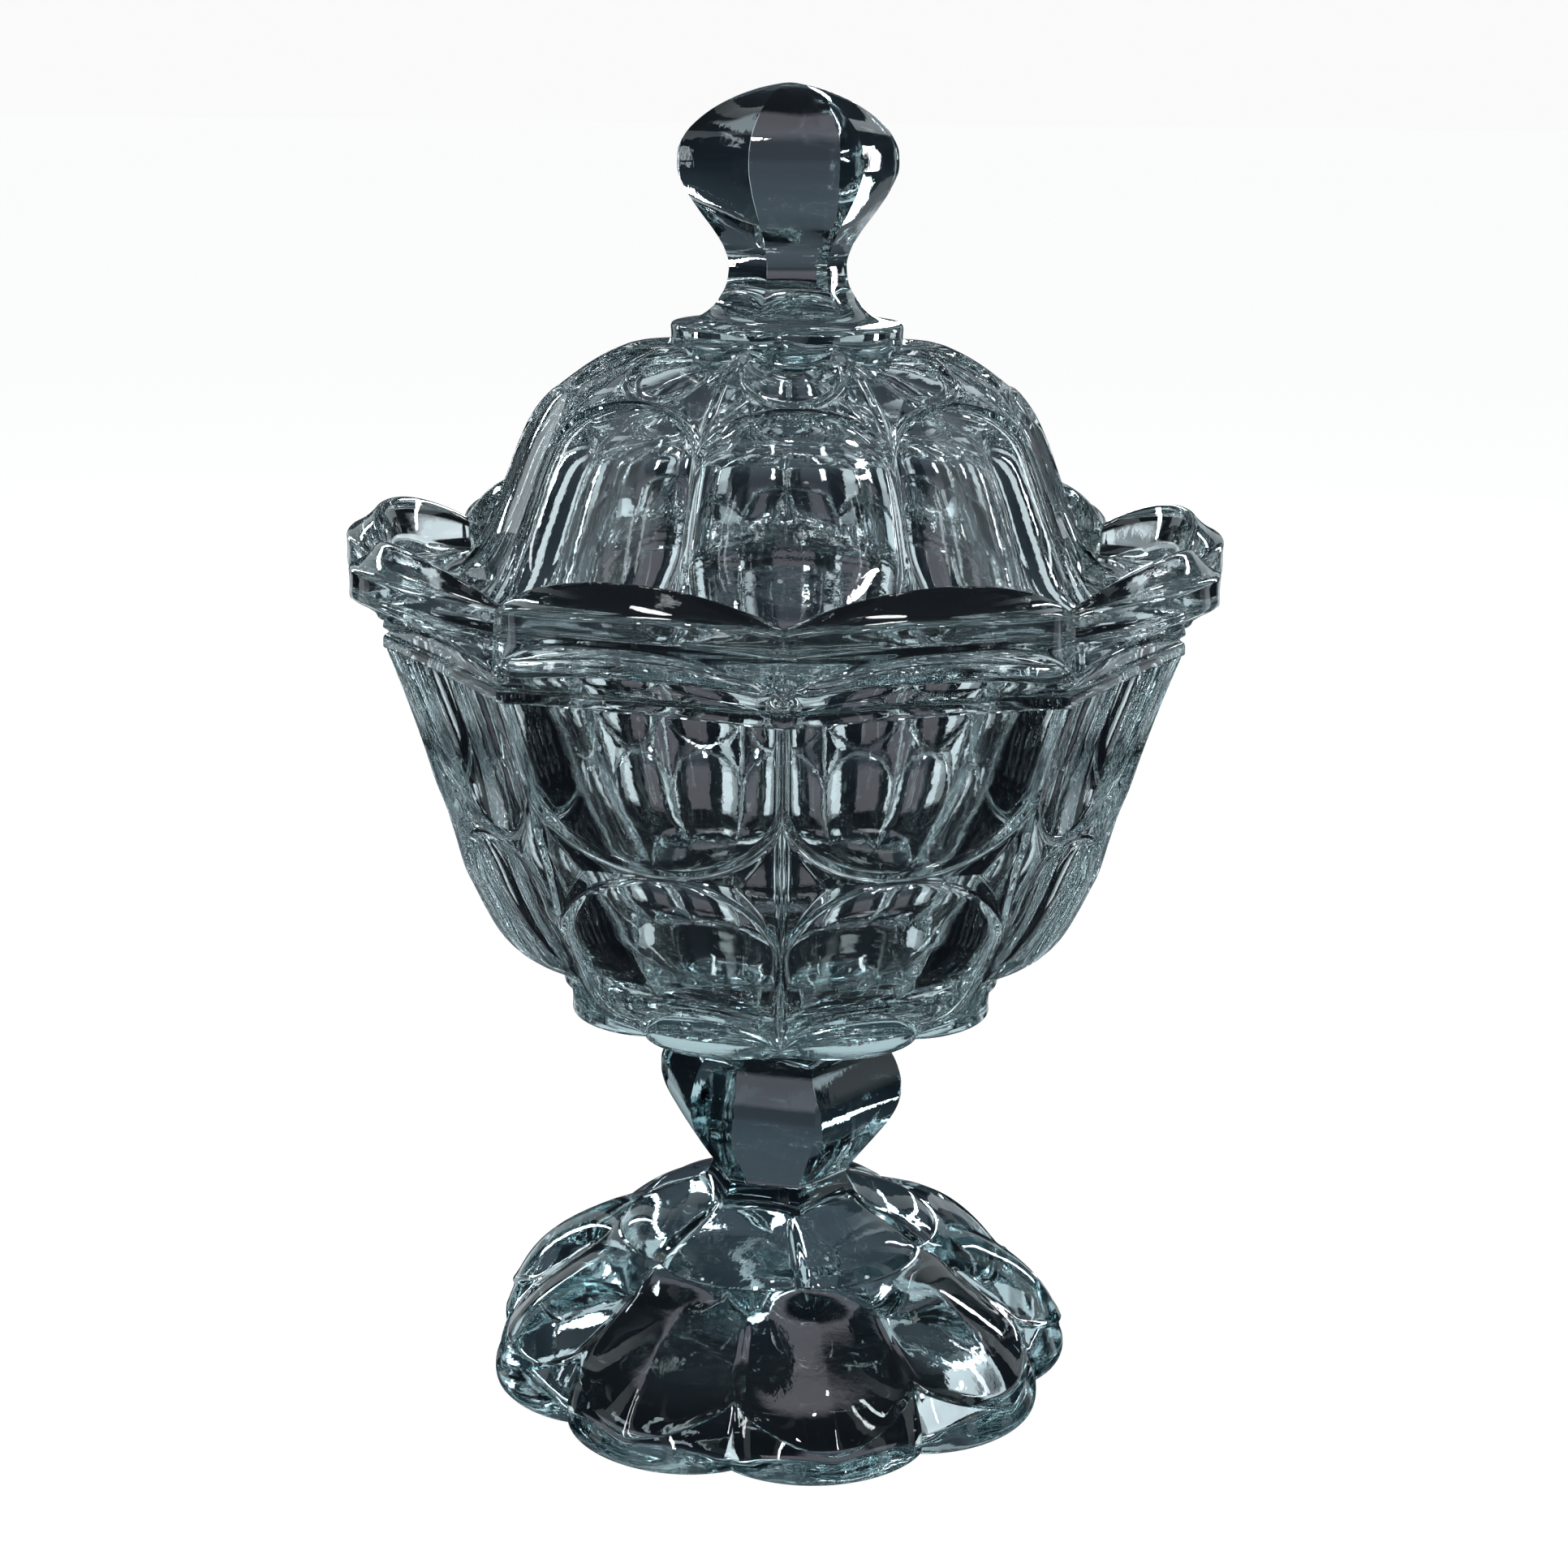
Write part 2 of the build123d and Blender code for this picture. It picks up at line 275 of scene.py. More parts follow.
# the star: a four-sided kite on the ridge with a crease out to each side tip
for t in spread(18, 1.5):
    z = Z_LO + (Z_CROSS - Z_LO) * t
    bowl.row(r_star(z), z)
for t in 1 - spread(18, 1.5)[::-1][1:]:
    z = Z_CROSS + (Z_UP - Z_CROSS) * t
    bowl.row(r_star(z), z)
bowl.row(r_star(Z_UP), Z_UP)
# upper panels
for t in spread(90):
    z = Z_UP + (LEDGE_Z - Z_UP) * t
    bowl.row(r_upper(z), z)
# ledge line and the cove under the rim
X_MM = np.radians(np.abs((1 - A) * 20.0)) * 67.0             # distance from the nearest notch
PILLAR = np.exp(-(X_MM / 1.15) ** 2)
LED_R = ridge(131.2) * POLY
bowl.to(LED_R + 0.4, LEDGE_Z + 0.15, 2)
bowl.round_to((LED_R + 1.15, LEDGE_Z + 0.15), (LED_R + 1.2, LEDGE_Z + 0.7), 4)
bowl.to(LED_R + 1.15, LEDGE_Z + 1.9, 2)
bowl.round_to((LED_R + 1.1, LEDGE_Z + 2.5), (LED_R + 0.3, LEDGE_Z + 2.7), 4)
base_r, base_z = bowl.rows[-1]
n = 26
for i in range(1, n + 1):
    t = i / n
    z = base_z + (Z_BAND - 0.1 - base_z) * (t ** (1 - 0.25 * ARC))
    e = 1.0 + 1.3 * ROOT
    r = base_r + (RIM_OUT - 1.5 - base_r) * t ** e
    bowl.row(r + 1.2 * PILLAR * smooth(t, 0.1, 0.5), z)
# rim band: crisp lower edge, upright face, sloping top face up to a set-in crest
PF = 0.9 * PILLAR
bowl.round_to((RIM_OUT - 0.6 + PF, Z_BAND - 0.2), (RIM_OUT - 0.25 + PF, Z_BAND + 0.25), 3)
bowl.round_to((RIM_OUT - 0.05 + PF, Z_BAND + 0.5), (RIM_OUT - 0.05 + PF, Z_BAND + 1.1), 3)
bowl.to(RIM_OUT - 0.05 + PF * 0.5, Z_FACE - 0.5, 10, bow=-0.1)
TX, TZ = R_TOP - RIM_OUT, Z_TOP - Z_FACE
bowl.round_to((RIM_OUT - 0.05 + PF * 0.3, Z_FACE - 0.05), (RIM_OUT - 0.3 + 0.06 * TX, Z_FACE + 0.06 * TZ + 0.15), 5)
bowl.to(R_TOP - 0.08 * TX, Z_TOP - 0.1 * TZ, 10, bow=-0.35)
bowl.round_to((R_TOP - 0.2, Z_TOP + 0.02), (R_TOP - 1.3, Z_TOP - 0.8), 9)
seat_r = 63.0
bowl.to(seat_r + 1.0 + 2.2 * ARC, 143.6, 9, bow=0.35)
bowl.round_to((seat_r + 0.6 + 1.4 * ARC, 141.5), (seat_r + 0.45, 141.2), 8)
bowl.round_to((seat_r + 0.05, 141.1), (seat_r, 140.6), 3)
bowl.to(seat_r, 137.35, 6)
bowl.round_to((seat_r, 137.0), (seat_r - 0.4, 137.0), 3)
bowl.to(57.2, 137.0, 6)
bowl.round_to((56.5, 137.0), (56.4, 136.2), 4)
bowl.lathe(*curve_rz([(56.3, 135.4), (55.6, 131.0), (54.3, 126.0), (51.6, 117.0), (48.9, 108.0), (46.6, 99.5), (44.1, 92.0),
                      (41.3, 86.0), (37.2, 81.2), (31.0, 77.6), (24.0, 75.2), (12.0, 73.3), (3.0, 73.0)], 60))
bowl.row(0, 73.0)
bowl_ob = bowl.mesh("bowl_glass", 22)

# ------------------------------------------------------------------ lid
TURN = 2.0
TH = columns(TURN - 20.0)
U = panel_u(TURN - 20.0)
A = np.abs(U)
ARC = 1 - U ** 2
ROOT = np.sqrt(np.maximum(ARC, 0))
DOME = np.array([(19.3, 181.0), (22.3, 180.75), (25.4, 180.2), (28.9, 178.9), (32.6, 176.9), (36.2, 174.4), (39.9, 171.4), (42.9, 167.9),
                 (45.2, 163.3), (46.9, 159.0), (49.8, 151.9), (53.3, 145.0), (55.6, 142.2), (58.0, 141.0)])
DS = np.concatenate([[0], np.cumsum(np.hypot(*np.diff(DOME, axis=0).T))])


def dome(s, depth=0.0):
    """Point of the dome's profile at arc length s, pushed in along its normal."""
    r, z = pchip(DS, DOME[:, 0], s), pchip(DS, DOME[:, 1], s)
    e = 0.4
    r1, z1 = pchip(DS, DOME[:, 0], s + e), pchip(DS, DOME[:, 1], s + e)
    r0, z0 = pchip(DS, DOME[:, 0], s - e), pchip(DS, DOME[:, 1], s - e)
    tr, tz = r1 - r0, z1 - z0
    ln = np.maximum(np.hypot(tr, tz), 1e-9)
    return r + depth * tz / ln, z - depth * tr / ln


S_T, S_W2, S_B, S_END = 17.7, 18.8, 29.6, DS[-1]
LINE_T = S_T * ROOT                                   # lower outline of the thumbprints
LINE_A = S_B - (S_B - S_W2) * ROOT                    # top outline of the arches
LINE_C = (LINE_T + LINE_A) / 2                        # side ridge of the star
HALF_S = (LINE_A - LINE_T) / 2
SIDE = (1 - A) * 20.0                                 # degrees from the nearest rib
T_LEAN, A_LEAN = lean(LINE_T, 30.0), lean(LINE_A, 39.0)

lid = Skin()
# inside of the dome, from its middle out to the flange
lid.row(0, 175.8)
lid.lathe(*curve_rz([(2.0, 175.78), (10.0, 175.4), (20.0, 174.2), (26.5, 172.3), (31.6, 169.9), (35.2, 167.3), (38.2, 164.0), (40.4, 159.5),
                     (42.2, 154.6), (44.6, 148.6), (47.8, 143.2), (50.6, 139.8), (53.2, 137.8)], 60))
lid.round_to((54.0, 137.15), (55.0, 137.15), 4)
lid.to(61.9, 137.15, 8)
lid.round_to((62.4, 137.15), (62.4, 137.7), 4)
lid.to(62.4, 139.9, 5)
lid.round_to((62.4, 140.7), (61.5, 140.75), 5)
lid.to(59.2, 140.85, 4)


def arch(s):
    rho2 = U ** 2 + np.maximum(0, (S_B - s) / (S_B - S_W2)) ** 2
    rho2 = rho2 * (1 + 0.35 * smooth(s, 42.0, 56.0))   # the sides draw in again low down
    w = np.maximum(0, 1 - rho2)
    r = pchip(DS, DOME[:, 0], s)
    line = np.minimum(np.maximum(s - LINE_A, 0) * A_LEAN, np.radians(SIDE) * r)
    d = (0.050 * r * w + 1.9 * w ** 0.45) * (1 - 0.9 * smooth(s, 52.0, S_END)) - bead(line, 0.55)
    return dome(s, d)


def star(s):
    side = np.radians(SIDE) * pchip(DS, DOME[:, 0], s)
    off = np.minimum(0.16 * side, 0.30 * np.maximum(HALF_S - np.abs(s - LINE_C), 0))
    line = np.minimum(np.minimum(np.abs(LINE_A - s) * A_LEAN, np.abs(s - LINE_T) * T_LEAN), side)
    return dome(s, 0.10 * side - off - bead(line, 0.55))


n = 100
first = arch(np.full(NT, S_END))
lid.round_to((58.6, 140.9), (first[0], first[1]), 3)
for t in 1 - spread(n)[::-1][1:]:
    s = S_END + (LINE_A - S_END) * t
    lid.row(*arch(s))
lid.row(*arch(LINE_A))
side_a = np.radians(SIDE) * pchip(DS, DOME[:, 0], LINE_A)
for t in spread(15, 1.5):
    s = LINE_A + (LINE_C - LINE_A) * t
    lid.row(*star(s))
for t in 1 - spread(15, 1.5)[::-1][1:]:
    s = LINE_C + (LINE_T - LINE_C) * t
    lid.row(*star(s))
lid.row(*star(LINE_T))
for t in spread(40, 1.8):
    s = LINE_T * (1 - t)
    w = np.maximum(0, 1 - U ** 2 - (s / S_T) ** 2)
    side = np.radians(SIDE) * pchip(DS, DOME[:, 0], s)
    line = (LINE_T - s) * T_LEAN
    lid.row(*dome(s, 0.10 * side * (1 - smooth(line, 0.0, 2.0)) + 1.2 * w + 1.8 * w ** 0.45 - bead(line, 0.55)))
# the collar is faintly nine-sided, and its lower edge dips over each thumbprint
COL = 19.5 - 0.35 * ARC
Z_COL = 180.7 - 1.7 * (1 - A ** 2.2)
lid.to(COL - 0.1, Z_COL, 2)
lid.to(COL, Z_COL + 0.35, 2)
lid.to(COL - 0.05, 183.6, 6, bow=-0.12)
lid.round_to((19.25, 184.4), (18.4, 184.5), 5)
KU = panel_u(40.0, 6) * 30.0
HEX = np.cos(np.radians(30)) / np.cos(np.radians(KU))
KP = [(18.4, 184.5), (16.4, 184.75), (14.7, 185.2), (12.9, 186.5), (11.3, 188.5), (10.1, 191.0), (9.8, 193.6), (10.5, 196.2),
      (12.1, 198.9), (14.9, 202.6), (17.1, 206.0), (18.35, 209.4), (18.25, 211.6), (17.0, 214.4), (14.9, 216.6), (12.1, 218.6),
      (8.2, 220.5), (4.2, 221.8), (1.2, 222.4)]
kr, kz = curve_rz(KP, 76)
for r, z in list(zip(kr, kz))[1:]:
    k = 1 - smooth(z, 184.6, 191.0) * 0.93
    # facets are slightly crowned
    lid.row(r * (HEX * (1 - k) + k), z - 0.25 * (1 - HEX) * smooth(z, 214, 220) * r)
lid.row(0, 222.5)
lid_ob = lid.mesh("lid_glass", 20)

# ------------------------------------------------------------------ pedestal
TH = EVEN
K6 = panel_u(16.0, 6) * 30.0
HEX = np.cos(np.radians(30)) / np.cos(np.radians(K6))
T6 = panel_u(9.0, 6)
U9 = panel_u(-9.0, 9)
ARC6, ARC9 = 1 - T6 ** 2, 1 - U9 ** 2
A9 = np.abs(U9)

foot = Skin()
foot.row(0, 61.0)
foot.lathe(*[np.linspace(a, b, 4) for a, b in ((4.0, 14.6), (61.0, 61.0))])
PR = [(15.2, 60.98), (17.4, 60.6), (18.8, 60.0), (20.2, 58.4), (21.4, 55.8), (22.0, 53.2), (22.0, 51.2), (21.5, 49.0), (20.2, 46.3), (17.9, 43.0), (15.5, 39.9),
      (13.6, 37.4), (12.5, 35.9), (12.2, 35.2)]
pr, pz = curve_rz(PR, 44)
for r, z in zip(pr, pz):
    k = 1 - smooth(61.0 - z, -0.2, 0.6) * 0.96
    foot.row(r * (HEX * (1 - k) + k), z)
# waist flaring into a first tier of six low cushions
R_T1 = 26.6 + 2.2 * ARC6 ** 0.8
T1 = [(12.4, 34.6), (13.0, 33.0), (14.1, 31.6), (15.8, 30.5), (18.6, 29.5), (21.6, 28.6), (24.4, 27.5), (26.6, 26.0), (27.9, 24.6), (28.4, 23.9)]
t1r, t1z = curve_rz(T1, 42)
for r, z in zip(t1r, t1z):
    out = (r - 12.4) / 16.0
    k = 1 - smooth(r, 12.4, 16.0) * 0.85
    side = HEX * k + (1 - k)
    dip = 0.9 * np.exp(-((1 - np.abs(T6)) * 30 / 2.0) ** 2) * smooth(out, 0.05, 0.5)
    sag = 0.9 * (1 - ARC6) * smooth(out, 0.15, 0.8)
    foot.row(r * side + (R_T1 - 28.4) * out - dip * 0.6, z - dip * 0.5 - sag * (1 - smooth(out, 0.8, 1.0)))
foot.round_to((R_T1 + 0.1, 23.6), (R_T1 - 0.5, 23.5), 3)
foot.to(R_T1 - 0.3, 23.7, 2)
# outer petals: crowned tops down to an arc edge, then a thick rounded foot edge
MID = np.array([(29.2, 23.6), (33.0, 22.5), (38.0, 20.0), (43.2, 16.6), (47.6, 12.4), (50.2, 8.6), (51.6, 5.4)])
SEAM = np.array([(28.4, 23.0), (31.2, 21.1), (34.4, 18.7), (37.8, 16.2), (41.2, 13.9), (43.6, 12.3), (45.4, 11.2)])
mr, mz = curve_rz(MID, 34)
sr, sz = curve_rz(SEAM, 34)
wgt = (1 - A9 ** 1.45)
start_r, start_z = foot.rows[-1]
for i in range(34):
    t = i / 33
    r = sr[i] + (mr[i] - sr[i]) * wgt
    z = sz[i] + (mz[i] - sz[i]) * wgt
    f = smooth(t, 0.0, 0.22)
    r = (start_r + 0.4 + t * 12) * (1 - f) + r * f
    z = (start_z - t * 6) * (1 - f) + z * f
    lip = 0.45 * np.exp(-((33 - i) / 1.6) ** 2) + 0.30 * np.exp(-((1 - A9) * 20 / 1.1) ** 2) * smooth(t, 0.2, 0.4)
    foot.row(r + lip * 0.25, z + lip)
e_r, e_z = foot.rows[-1]
B_R = 47.0 + 4.6 * ARC9 ** 0.9
foot.to(e_r + 0.10, e_z - 0.12, 1)
foot.to(e_r - 0.25 - 0.9 * A9 ** 6, e_z - 0.7, 2)
foot.round_to((B_R - 0.2, e_z * 0.55 + 0.3), (B_R + 0.45, e_z * 0.30 + 0.5), 8)
foot.round_to((B_R + 0.75, 0.5), (B_R - 0.3, 0.2), 8)
foot.round_to((B_R - 0.8, 0.0), (B_R - 1.5, 0.0), 4)
foot.to(42.6, 0.0, 5)
foot.round_to((41.6, 0.0), (41.1, 0.7), 4)
foot.lathe(*curve_rz([(40.6, 1.6), (38.4, 4.4), (34.0, 7.4), (28.0, 10.4), (20.0, 13.0), (10.0, 14.6), (2.0, 15.0)], 30))
foot.row(0, 15.0)
foot_ob = foot.mesh("pedestal_glass", 22)

# ------------------------------------------------------------------ wafer
waf = Skin()
waf.row(0, 61.02)
waf.lathe(np.linspace(3, 14.6, 5), np.full(5, 61.02))
waf.round_to((15.0, 61.02), (15.0, 61.35), 4)
waf.to(15.0, 62.05, 3)
waf.round_to((15.0, 62.38), (14.6, 62.38), 4)
waf.lathe(np.linspace(14.0, 3, 5), np.full(5, 62.38))
waf.row(0, 62.38)
wafer_ob = waf.mesh("wafer_glass", 30)


# ------------------------------------------------------------------ glass
def glass(name, tint, ripple, density):
    mat = bpy.data.materials.new(name)
    mat.use_nodes = True
    nt = mat.node_tree
    nd, lk = nt.nodes, nt.links
    nd.clear()
    out = nd.new("ShaderNodeOutputMaterial")
    b = nd.new("ShaderNodeBsdfPrincipled")
    b.inputs["Transmission Weight"].default_value = 1.0
    b.inputs["IOR"].default_value = 1.51
    b.inputs["Metallic"].default_value = 0.0
    tc = nd.new("ShaderNodeTexCoord")
    # long soft ripple of pressed glass, and a finer fire-polished skin
    big = nd.new("ShaderNodeTexNoise")
    big.inputs["Scale"].default_value = 85.0
    big.inputs["Detail"].default_value = 2.0
    fine = nd.new("ShaderNodeTexNoise")
    fine.inputs["Scale"].default_value = 900.0
    fine.inputs["Detail"].default_value = 3.0
    lk.new(tc.outputs["Object"], big.inputs["Vector"])
    lk.new(tc.outputs["Object"], fine.inputs["Vector"])
    b1 = nd.new("ShaderNodeBump")
    b1.inputs["Distance"].default_value = 0.00014 * ripple
    b1.inputs["Strength"].default_value = 0.5
    b2 = nd.new("ShaderNodeBump")
    b2.inputs["Distance"].default_value = 0.00002 * ripple
    b2.inputs["Strength"].default_value = 0.5
    lk.new(big.outputs["Fac"], b1.inputs["Height"])
    lk.new(fine.outputs["Fac"], b2.inputs["Height"])
    lk.new(b1.outputs["Normal"], b2.inputs["Normal"])
    lk.new(b2.outputs["Normal"], b.inputs["Normal"])
    # handling wear: the skin is a touch duller in patches
    wear = nd.new("ShaderNodeTexNoise")
    wear.inputs["Scale"].default_value = 40.0
    wear.inputs["Detail"].default_value = 5.0
    lk.new(tc.outputs["Object"], wear.inputs["Vector"])
    rr = nd.new("ShaderNodeMapRange")
    rr.inputs["From Min"].default_value = 0.45
    rr.inputs["From Max"].default_value = 0.75
    rr.inputs["To Min"].default_value = 0.0
    rr.inputs["To Max"].default_value = 0.012
    lk.new(wear.outputs["Fac"], rr.inputs["Value"])
    lk.new(rr.outputs["Result"], b.inputs["Roughness"])
    # faint colour streaks in the metal
    cr = nd.new("ShaderNodeMix")
    cr.data_type = "RGBA"
    cr.inputs["A"].default_value = (*tint, 1)
    cr.inputs["B"].default_value = (min(1, tint[0] * 1.04), min(1, tint[1] * 1.02), min(1, tint[2] * 1.02), 1)
    lk.new(big.outputs["Fac"], cr.inputs["Factor"])
    lk.new(cr.outputs["Result"], b.inputs["Base Color"])
    lk.new(b.outputs["BSDF"], out.inputs["Surface"])
    va = nd.new("ShaderNodeVolumeAbsorption")
    va.inputs["Color"].default_value = (0.55, 0.80, 0.84, 1)
    va.inputs["Density"].default_value = density
    lk.new(va.outputs["Volume"], out.inputs["Volume"])
    return mat


M_LID = glass("lid_glass_mat", (0.93, 0.975, 0.985), 1.0, 9.0)
M_BOWL = glass("bowl_glass_mat", (0.93, 0.98, 0.985), 1.0, 8.0)
M_FOOT = glass("foot_glass_mat", (0.88, 0.95, 0.965), 1.1, 13.0)
M_WAF = glass("wafer_glass_mat", (0.92, 0.975, 0.98), 0.6, 9.0)

for ob, mat, body, node, slot in ((lid_ob, M_LID, "lid", "lid", "lid_glass"),
                                  (bowl_ob, M_BOWL, "dish", "bowl", "bowl_glass"),
                                  (wafer_ob, M_WAF, "dish", "joining_wafer", "wafer_glass"),
                                  (foot_ob, M_FOOT, "dish", "pedestal_foot", "foot_glass")):
    ob.data.materials.append(mat)
    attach(ob, body)
    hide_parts(node)

# ------------------------------------------------------------------ stage
def plain(name, col, rough=0.9):
    m = bpy.data.materials.new(name)
    m.use_nodes = True
    p = m.node_tree.nodes["Principled BSDF"]
    p.inputs["Base Color"].default_value = (*col, 1)
    p.inputs["Roughness"].default_value = rough
    return m


fl = bpy.data.meshes.new("floor")
fl.from_pydata([(-30, -30, 0), (30, -30, 0), (30, 30, 0), (-30, 30, 0)], [], [(0, 1, 2, 3)])
floor = bpy.data.objects.new("floor", fl)
bpy.context.scene.collection.objects.link(floor)
floor_mat = plain("floor_mat", (0.16, 0.16, 0.16))
fp = floor_mat.node_tree.nodes["Principled BSDF"]
fp.inputs["Specular IOR Level"].default_value = 0.0
fp.inputs["Emission Color"].default_value = (0.93, 0.93, 0.93, 1)
fp.inputs["Emission Strength"].default_value = 1.02
fl.materials.append(floor_mat)
floor.visible_transmission = False
floor.visible_glossy = False

# ------------------------------------------------------------------ world and lights
scn = bpy.context.scene
world = bpy.data.worlds.new("studio")
scn.world = world
world.use_nodes = True
wn, wl = world.node_tree.nodes, world.node_tree.links
wn.clear()
wo = wn.new("ShaderNodeOutputWorld")
wb_cam = wn.new("ShaderNodeBackground")
wb_cam.inputs["Color"].default_value = (0.958, 0.958, 0.958, 1)
wb_cam.inputs["Strength"].default_value = 1.0
wb = wn.new("ShaderNodeBackground")
mix = wn.new("ShaderNodeMixShader")
lp = wn.new("ShaderNodeLightPath")
tcw = wn.new("ShaderNodeTexCoord")
sep = wn.new("ShaderNodeSeparateXYZ")
wl.new(tcw.outputs["Generated"], sep.inputs[0])
ramp = wn.new("ShaderNodeValToRGB")
mr_ = wn.new("ShaderNodeMapRange")
mr_.inputs["From Min"].default_value = -1.0
mr_.inputs["From Max"].default_value = 1.0
wl.new(sep.outputs["Z"], mr_.inputs["Value"])
wl.new(mr_.outputs["Result"], ramp.inputs["Fac"])
cr = ramp.color_ramp
cr.elements[0].position = 0.0
cr.elements[0].color = (0.004, 0.005, 0.007, 1)
cr.elements[1].position = 1.0
cr.elements[1].color = (0.080, 0.095, 0.108, 1)
for pos, col in ((0.30, (0.003, 0.004, 0.006, 1)), (0.40, (0.006, 0.009, 0.012, 1)), (0.475, (0.009, 0.013, 0.018, 1)),
                 (0.54, (0.015, 0.022, 0.029, 1)), (0.62, (0.024, 0.035, 0.043, 1)), (0.80, (0.038, 0.050, 0.060, 1))):
    e = cr.elements.new(pos)
    e.color = col
# tall soft panels stand round the dish: brightness by compass angle, 0.5 being the front
az = wn.new("ShaderNodeMath")
az.operation = "ARCTAN2"
wl.new(sep.outputs["X"], az.inputs[0])
neg = wn.new("ShaderNodeMath")
neg.operation = "MULTIPLY"
neg.inputs[1].default_value = -1.0
wl.new(sep.outputs["Y"], neg.inputs[0])
wl.new(neg.outputs[0], az.inputs[1])
azr = wn.new("ShaderNodeMapRange")
azr.inputs["From Min"].default_value = -3.14159265
azr.inputs["From Max"].default_value = 3.14159265
wl.new(az.outputs[0], azr.inputs["Value"])
pan = wn.new("ShaderNodeValToRGB")
wl.new(azr.outputs["Result"], pan.inputs["Fac"])
pr_ = pan.color_ramp
pr_.interpolation = "CONSTANT"
pr_.elements[0].position = 0.0
pr_.elements[0].color = (0.045, 0.05, 0.06, 1)
pr_.elements[1].position = 0.98
pr_.elements[1].color = (0.045, 0.05, 0.06, 1)
for deg, half, val in ((-155, 5, 0.55), (-122, 5, 0.62), (-84, 6, 0.64), (-52, 3, 0.55), (-24, 2, 0.30),
                       (33, 2, 0.34), (58, 4, 0.60), (92, 6, 0.62), (128, 5, 0.56), (158, 5, 0.55)):
    for dd, v in ((-half, val), (half, 0.0)):
        e = pr_.elements.new((deg + dd) / 360 + 0.5)
        e.color = (v * 1.12, v * 1.26, v * 1.30, 1) if v else (0, 0, 0, 1)
e = pr_.elements.new(0.02)
e.color = (0, 0, 0, 1)
# the panels end below the table and high overhead
high = wn.new("ShaderNodeValToRGB")
wl.new(mr_.outputs["Result"], high.inputs["Fac"])
hr = high.color_ramp
hr.elements[0].position = 0.36
hr.elements[0].color = (0, 0, 0, 1)
hr.elements[1].position = 0.90
hr.elements[1].color = (0, 0, 0, 1)
for pos, v in ((0.47, 0.55), (0.505, 1.0), (0.74, 0.9)):
    e = hr.elements.new(pos)
    e.color = (v, v, v, 1)
both = wn.new("ShaderNodeMix")
both.data_type = "RGBA"
both.blend_type = "MULTIPLY"
both.inputs["Factor"].default_value = 1.0
wl.new(pan.outputs["Color"], both.inputs["A"])
wl.new(high.outputs["Color"], both.inputs["B"])
add = wn.new("ShaderNodeMix")
add.data_type = "RGBA"
add.blend_type = "ADD"
add.inputs["Factor"].default_value = 1.0
wl.new(ramp.outputs["Color"], add.inputs["A"])
wl.new(both.outputs["Result"], add.inputs["B"])
# low panels behind the dish, from just over the table line downwards
low_az = wn.new("ShaderNodeValToRGB")
wl.new(azr.outputs["Result"], low_az.inputs["Fac"])
la = low_az.color_ramp
la.interpolation = "CONSTANT"
la.elements[0].position = 0.0
la.elements[0].color = (0.10, 0.09, 0.10, 1)
la.elements[1].position = 0.975
la.elements[1].color = (0.10, 0.09, 0.10, 1)
for deg, v in ((-173, 0.0), (-163, 0.62), (-156, 0.22), (-150, 0.0), (-134, 0.60), (-126, 0.24), (-119, 0.0),
               (117, 0.24), (125, 0.60), (132, 0.0), (149, 0.22), (155, 0.62), (163, 0.0)):
    e = la.elements.new(deg / 360 + 0.5)
    e.color = (v * 1.14, v * 1.26, v * 1.32, 1)
low = wn.new("ShaderNodeValToRGB")
wl.new(mr_.outputs["Result"], low.inputs["Fac"])
lr_ = low.color_ramp
lr_.elements[0].position = 0.315
lr_.elements[0].color = (0, 0, 0, 1)
lr_.elements[1].position = 0.52
lr_.elements[1].color = (0, 0, 0, 1)
for pos, v in ((0.335, 1.0), (0.420, 1.0), (0.450, 0.15)):
    e = lr_.elements.new(pos)
    e.color = (v, v, v, 1)
lowmix = wn.new("ShaderNodeMix")
lowmix.data_type = "RGBA"
lowmix.blend_type = "MULTIPLY"
lowmix.inputs["Factor"].default_value = 1.0
wl.new(low_az.outputs["Color"], lowmix.inputs["A"])
wl.new(low.outputs["Color"], lowmix.inputs["B"])
add2 = wn.new("ShaderNodeMix")
add2.data_type = "RGBA"
add2.blend_type = "ADD"
add2.inputs["Factor"].default_value = 1.0
wl.new(add.outputs["Result"], add2.inputs["A"])
wl.new(lowmix.outputs["Result"], add2.inputs["B"])
wl.new(add2.outputs["Result"], wb.inputs["Color"])
wb.inputs["Strength"].default_value = 1.0
wl.new(lp.outputs["Is Camera Ray"], mix.inputs[0])
wl.new(wb.outputs[0], mix.inputs[1])
wl.new(wb_cam.outputs[0], mix.inputs[2])
wl.new(mix.outputs[0], wo.inputs["Surface"])


def area(name, loc, target, size, power, col=(1, 1, 1), shape="RECTANGLE"):
    d = bpy.data.lights.new(name, "AREA")
    d.shape = shape
    d.size = size[0]
    if shape in ("RECTANGLE", "ELLIPSE"):
        d.size_y = size[1]
    d.energy = power
    d.color = col
    ob = bpy.data.objects.new(name, d)
    ob.location = loc
    ob.rotation_euler = (Vector(target) - Vector(loc)).to_track_quat("-Z", "Y").to_euler()
    scn.collection.objects.link(ob)
    return ob


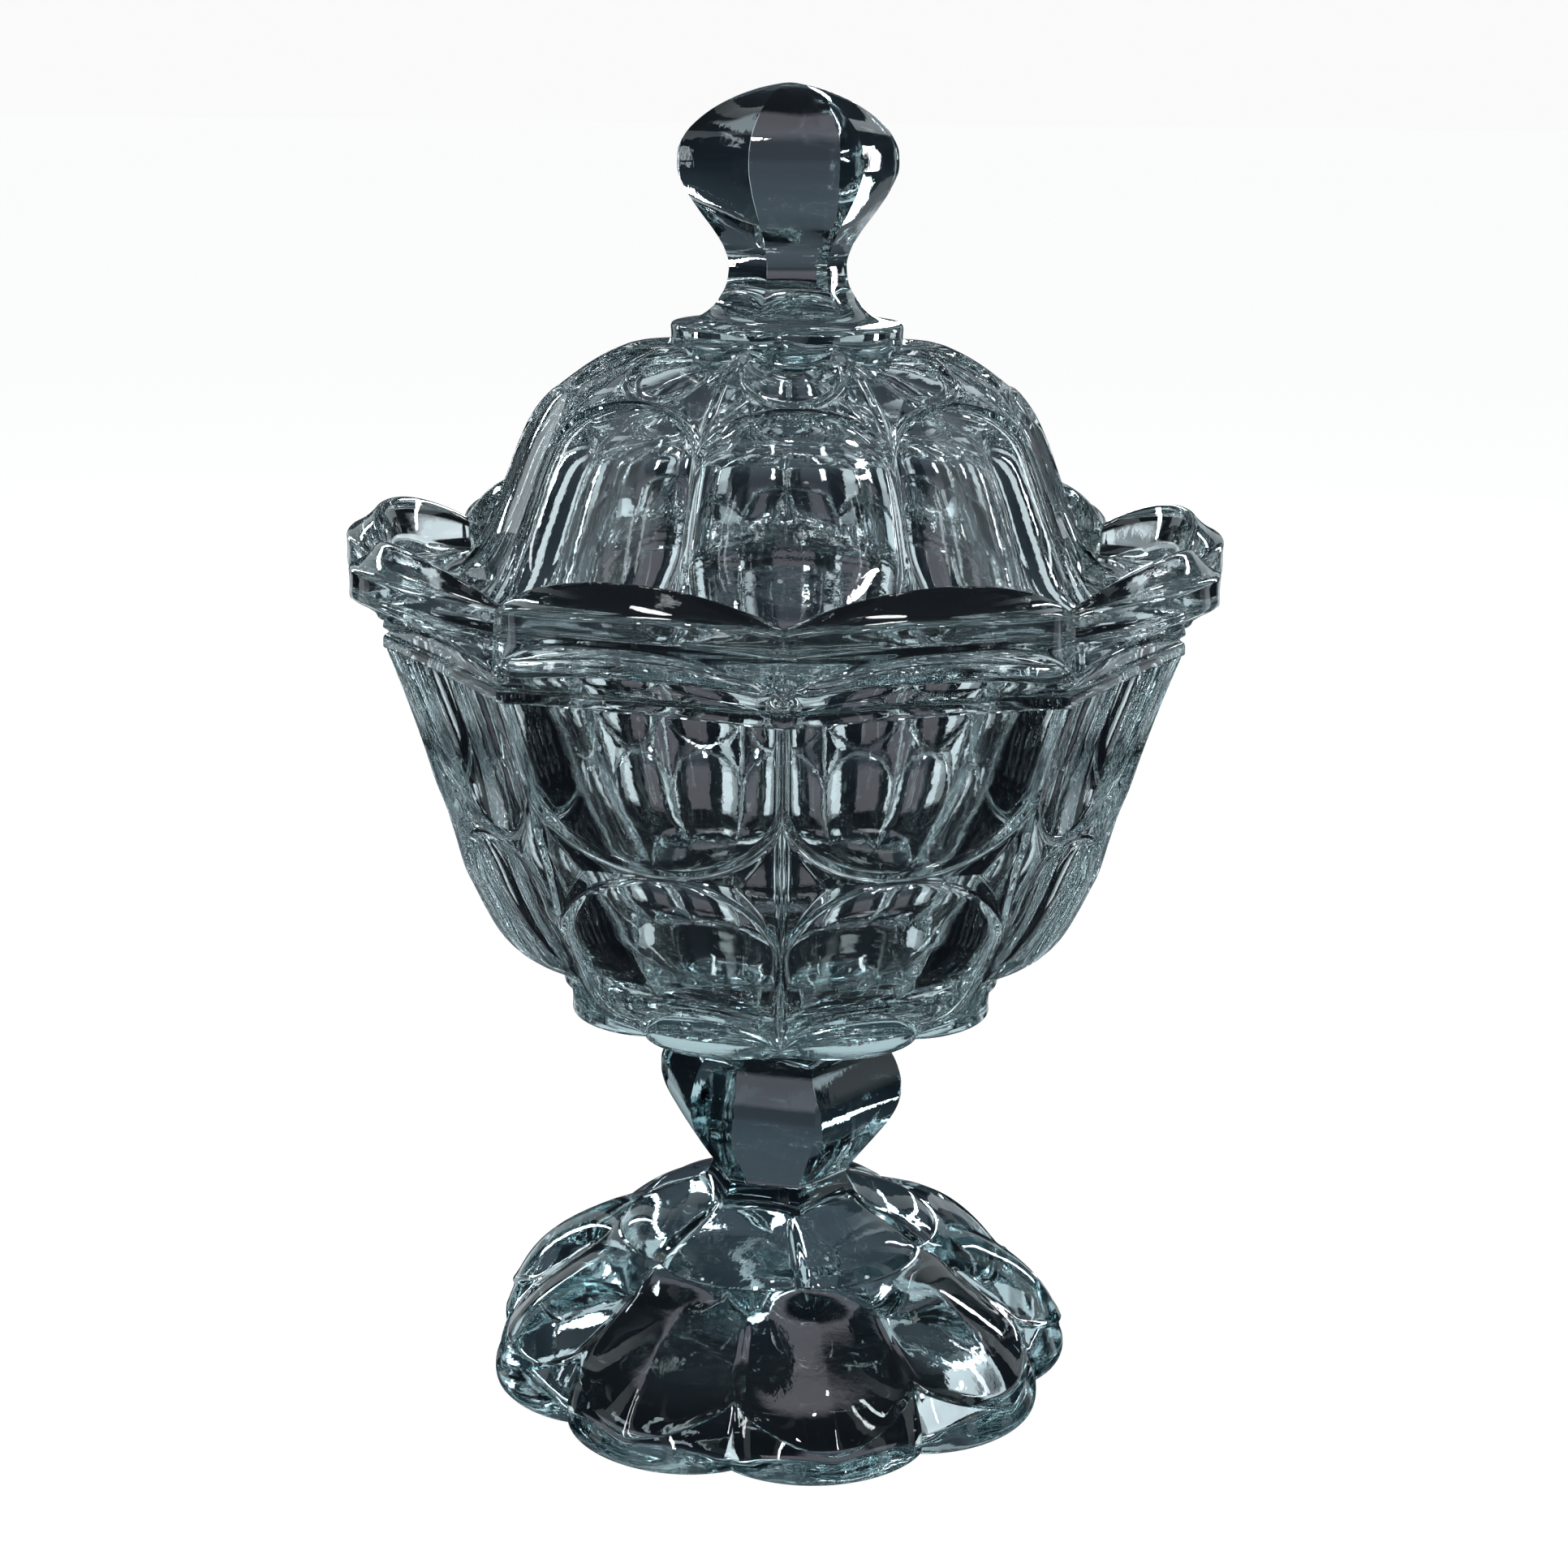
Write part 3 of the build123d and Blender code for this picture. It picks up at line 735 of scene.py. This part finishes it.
mid = (0, 0, 0.11)
area("top_soft", (-0.12, 0.25, 1.30), mid, (0.34, 0.16), 2.6, (1, 1, 1), "ELLIPSE")
area("top_front", (0.20, -0.62, 1.10), mid, (0.08, 0.08), 2.0, (1.0, 0.96, 0.98), "DISK")
area("front_spot", (-0.10, -0.88, 0.86), mid, (0.05, 0.05), 1.1, (1.0, 0.97, 0.98), "DISK")
area("left_window_a", (-0.98, -0.48, 0.55), mid, (0.05, 0.62), 1.6, (0.90, 0.95, 1.0))
area("left_window_b", (-0.90, -0.66, 0.55), mid, (0.04, 0.62), 1.3, (0.94, 0.97, 1.0))
area("right_window_a", (1.00, -0.34, 0.52), mid, (0.05, 0.56), 1.5, (0.84, 0.97, 1.0))
area("right_window_b", (0.92, -0.54, 0.52), mid, (0.035, 0.56), 1.2, (0.90, 0.96, 1.0))
area("front_left", (-0.36, -0.98, 0.46), mid, (0.035, 0.40), 1.8, (0.92, 0.97, 1.0))
area("front_right", (0.48, -0.92, 0.40), mid, (0.030, 0.34), 1.4, (1.0, 0.95, 0.97))
area("back_left", (-0.62, 0.80, 0.40), mid, (0.05, 0.60), 1.7, (0.84, 0.97, 1.0))
area("back_mid", (0.10, 1.05, 0.30), mid, (0.04, 0.42), 1.5, (0.90, 0.97, 1.0))
area("back_right", (0.66, 0.76, 0.38), mid, (0.04, 0.60), 1.7, (0.95, 0.95, 1.0))

# ------------------------------------------------------------------ camera
PX = 0.14e-3
DIST = 3173 * PX
PITCH, ROLL = radians(14.81), radians(0.58)
Z0 = 755 * PX
cam = bpy.data.cameras.new("cam")
cam.sensor_width = 36.0
cam.lens = 36.0 * 3173 / 1932
cam_ob = bpy.data.objects.new("cam", cam)
scn.collection.objects.link(cam_ob)
fwd = Vector((0, cos(PITCH), -sin(PITCH)))
right0 = Vector((1, 0, 0))
up0 = Vector((0, sin(PITCH), cos(PITCH)))
right = right0 * cos(ROLL) + up0 * sin(ROLL)
up = up0 * cos(ROLL) - right0 * sin(ROLL)
loc = Vector((0.0002, 0, Z0)) - fwd * DIST
cam_ob.matrix_world = Matrix(((right.x, up.x, -fwd.x, loc.x), (right.y, up.y, -fwd.y, loc.y),
                              (right.z, up.z, -fwd.z, loc.z), (0, 0, 0, 1)))
cam.clip_start = 0.01
scn.camera = cam_ob

scn.view_settings.view_transform = "Standard"
scn.view_settings.look = "None"
scn.cycles.max_bounces = 24
scn.cycles.transmission_bounces = 20
scn.cycles.glossy_bounces = 10
scn.cycles.transparent_max_bounces = 16
scn.cycles.caustics_refractive = True
scn.cycles.caustics_reflective = True
scn.cycles.blur_glossy = 0.0
scn.cycles.sample_clamp_indirect = 6.0
